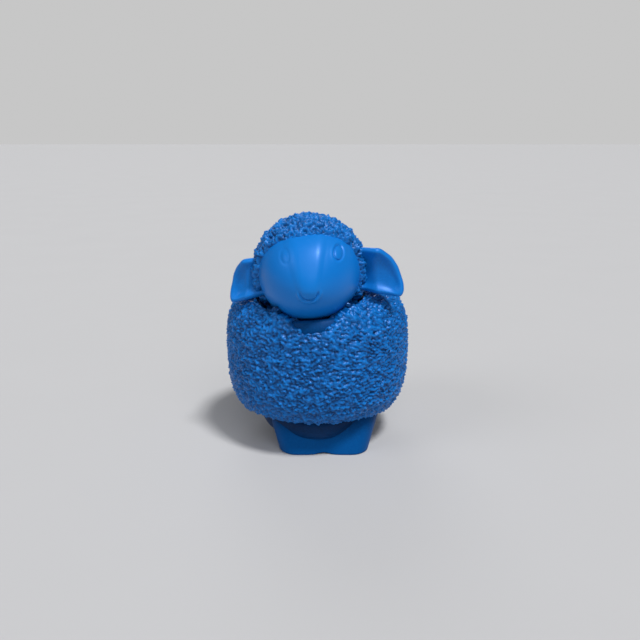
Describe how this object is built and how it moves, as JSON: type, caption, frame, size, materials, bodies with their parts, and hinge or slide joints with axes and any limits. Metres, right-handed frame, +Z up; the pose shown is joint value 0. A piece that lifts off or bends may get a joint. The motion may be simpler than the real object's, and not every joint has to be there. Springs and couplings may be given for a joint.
{
  "type": "sheep figurine",
  "caption": "Standing sheep figurine: an egg-shaped fleece body on paired feet, and a ball head with drooping ears that turns in a smooth neck cup.",
  "frame": {"origin": "on the floor, under the middle of the bounding box", "axes": "+Z up, -Y is where the face looks, +X is the sheep's own left"},
  "size_m": [0.0376, 0.0412, 0.0477],
  "materials": {
    "fleece": "satin blue, tufted all over",
    "smooth": "semi-gloss blue, smooth",
    "fittings": "plain dark blue"
  },
  "bodies": {
    "body": {"fleece_body": "fleece", "underbody": "smooth", "front_legs": "smooth", "rear_legs": "smooth", "tail": "fleece", "neck_cup": "smooth"},
    "head": {"face": "smooth", "hood": "fleece", "left_eye": "smooth", "right_eye": "smooth", "left_ear": "smooth", "right_ear": "smooth", "neck_post": "fittings", "neck_washer": "fittings", "neck_clip": "fittings"}
  },
  "joints": [
    {"name": "head_turn", "type": "hinge", "parent": "body", "child": "head", "pos_m": [-0.0015, -0.008, 0.03651], "axis": [-0.0512, -0.2079, 0.9768], "range_deg": [-30, 30]}
  ]
}
